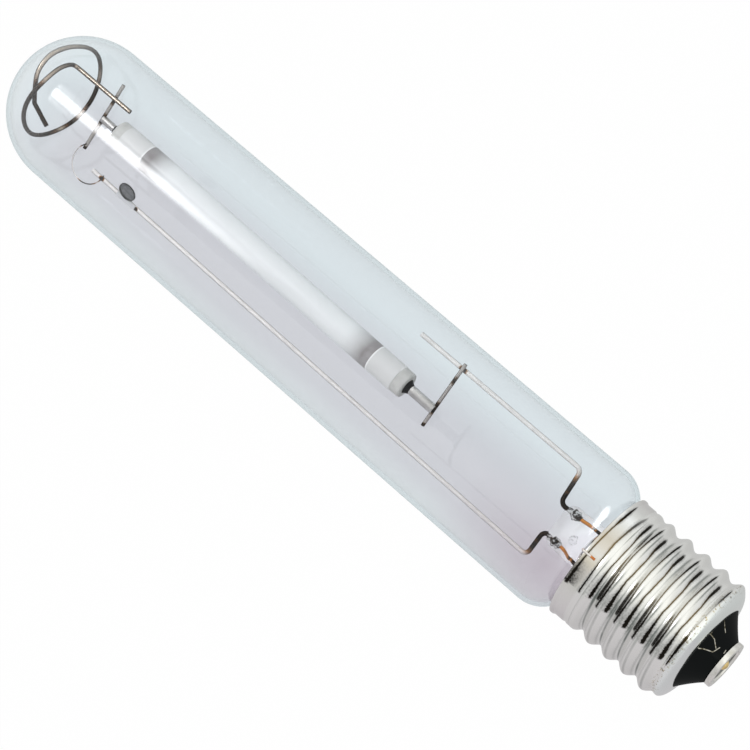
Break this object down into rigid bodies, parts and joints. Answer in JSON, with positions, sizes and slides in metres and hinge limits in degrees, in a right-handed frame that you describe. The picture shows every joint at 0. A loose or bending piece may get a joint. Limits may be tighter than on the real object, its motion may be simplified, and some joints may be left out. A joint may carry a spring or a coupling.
{
  "type": "high pressure sodium lamp",
  "caption": "Clear tubular discharge lamp: a slim translucent arc tube held on bent wires in a domed glass envelope, with a large nickel-plated screw cap.",
  "frame": {"origin": "centre of the contact plate's outer flat face, on the lamp's axis", "axes": "+Z along the lamp's axis, out of the cap, so the lamp hangs below its cap. +X towards the long support wire, -X towards the short one. +Y follows by the right-hand rule."},
  "size_m": [0.046, 0.046, 0.272],
  "materials": {
    "clear_glass": "clear hard glass",
    "stem_glass": "clear glass",
    "nickel_plate": "bright nickel plate on brass",
    "black_glass": "glossy black glass",
    "contact_metal": "plated brass",
    "solder": "golden solder",
    "cement": "matte basing cement",
    "support_wire": "plated wire, darkened by heat at the bends",
    "ring_wire": "spring wire, darkened by heat",
    "copper_wire": "copper-coated wire",
    "cap_wire": "thin plated wire",
    "alumina": "translucent white alumina",
    "niobium": "drawn niobium tube",
    "sealing_glass": "glossy black sealing glass",
    "tungsten": "grey tungsten",
    "getter_metal": "dark steel",
    "getter_powder": "matte grey pressed powder"
  },
  "bodies": {
    "root": {"outer_bulb": "clear_glass", "stem": "stem_glass", "cap_shell": "nickel_plate", "cap_insulator": "black_glass", "centre_contact": "contact_metal", "contact_solder": "solder", "cap_cement": "cement", "long_lead": "support_wire", "short_lead": "support_wire", "cap_end_cross_wire": "support_wire", "dome_end_cross_wire": "support_wire", "expansion_wire": "support_wire", "dome_ring": "ring_wire", "long_seal_wire": "copper_wire", "short_seal_wire": "copper_wire", "contact_lead_wire": "cap_wire", "shell_lead_wire": "cap_wire", "arc_tube": "alumina", "cap_end_plug": "alumina", "dome_end_plug": "alumina", "cap_end_feedthrough": "niobium", "dome_end_feedthrough": "niobium", "cap_end_seal": "sealing_glass", "dome_end_seal": "sealing_glass", "cap_end_electrode": "tungsten", "dome_end_electrode": "tungsten", "getter_cup": "getter_metal", "getter_tab": "getter_metal", "getter_fill": "getter_powder"}
  },
  "joints": []
}
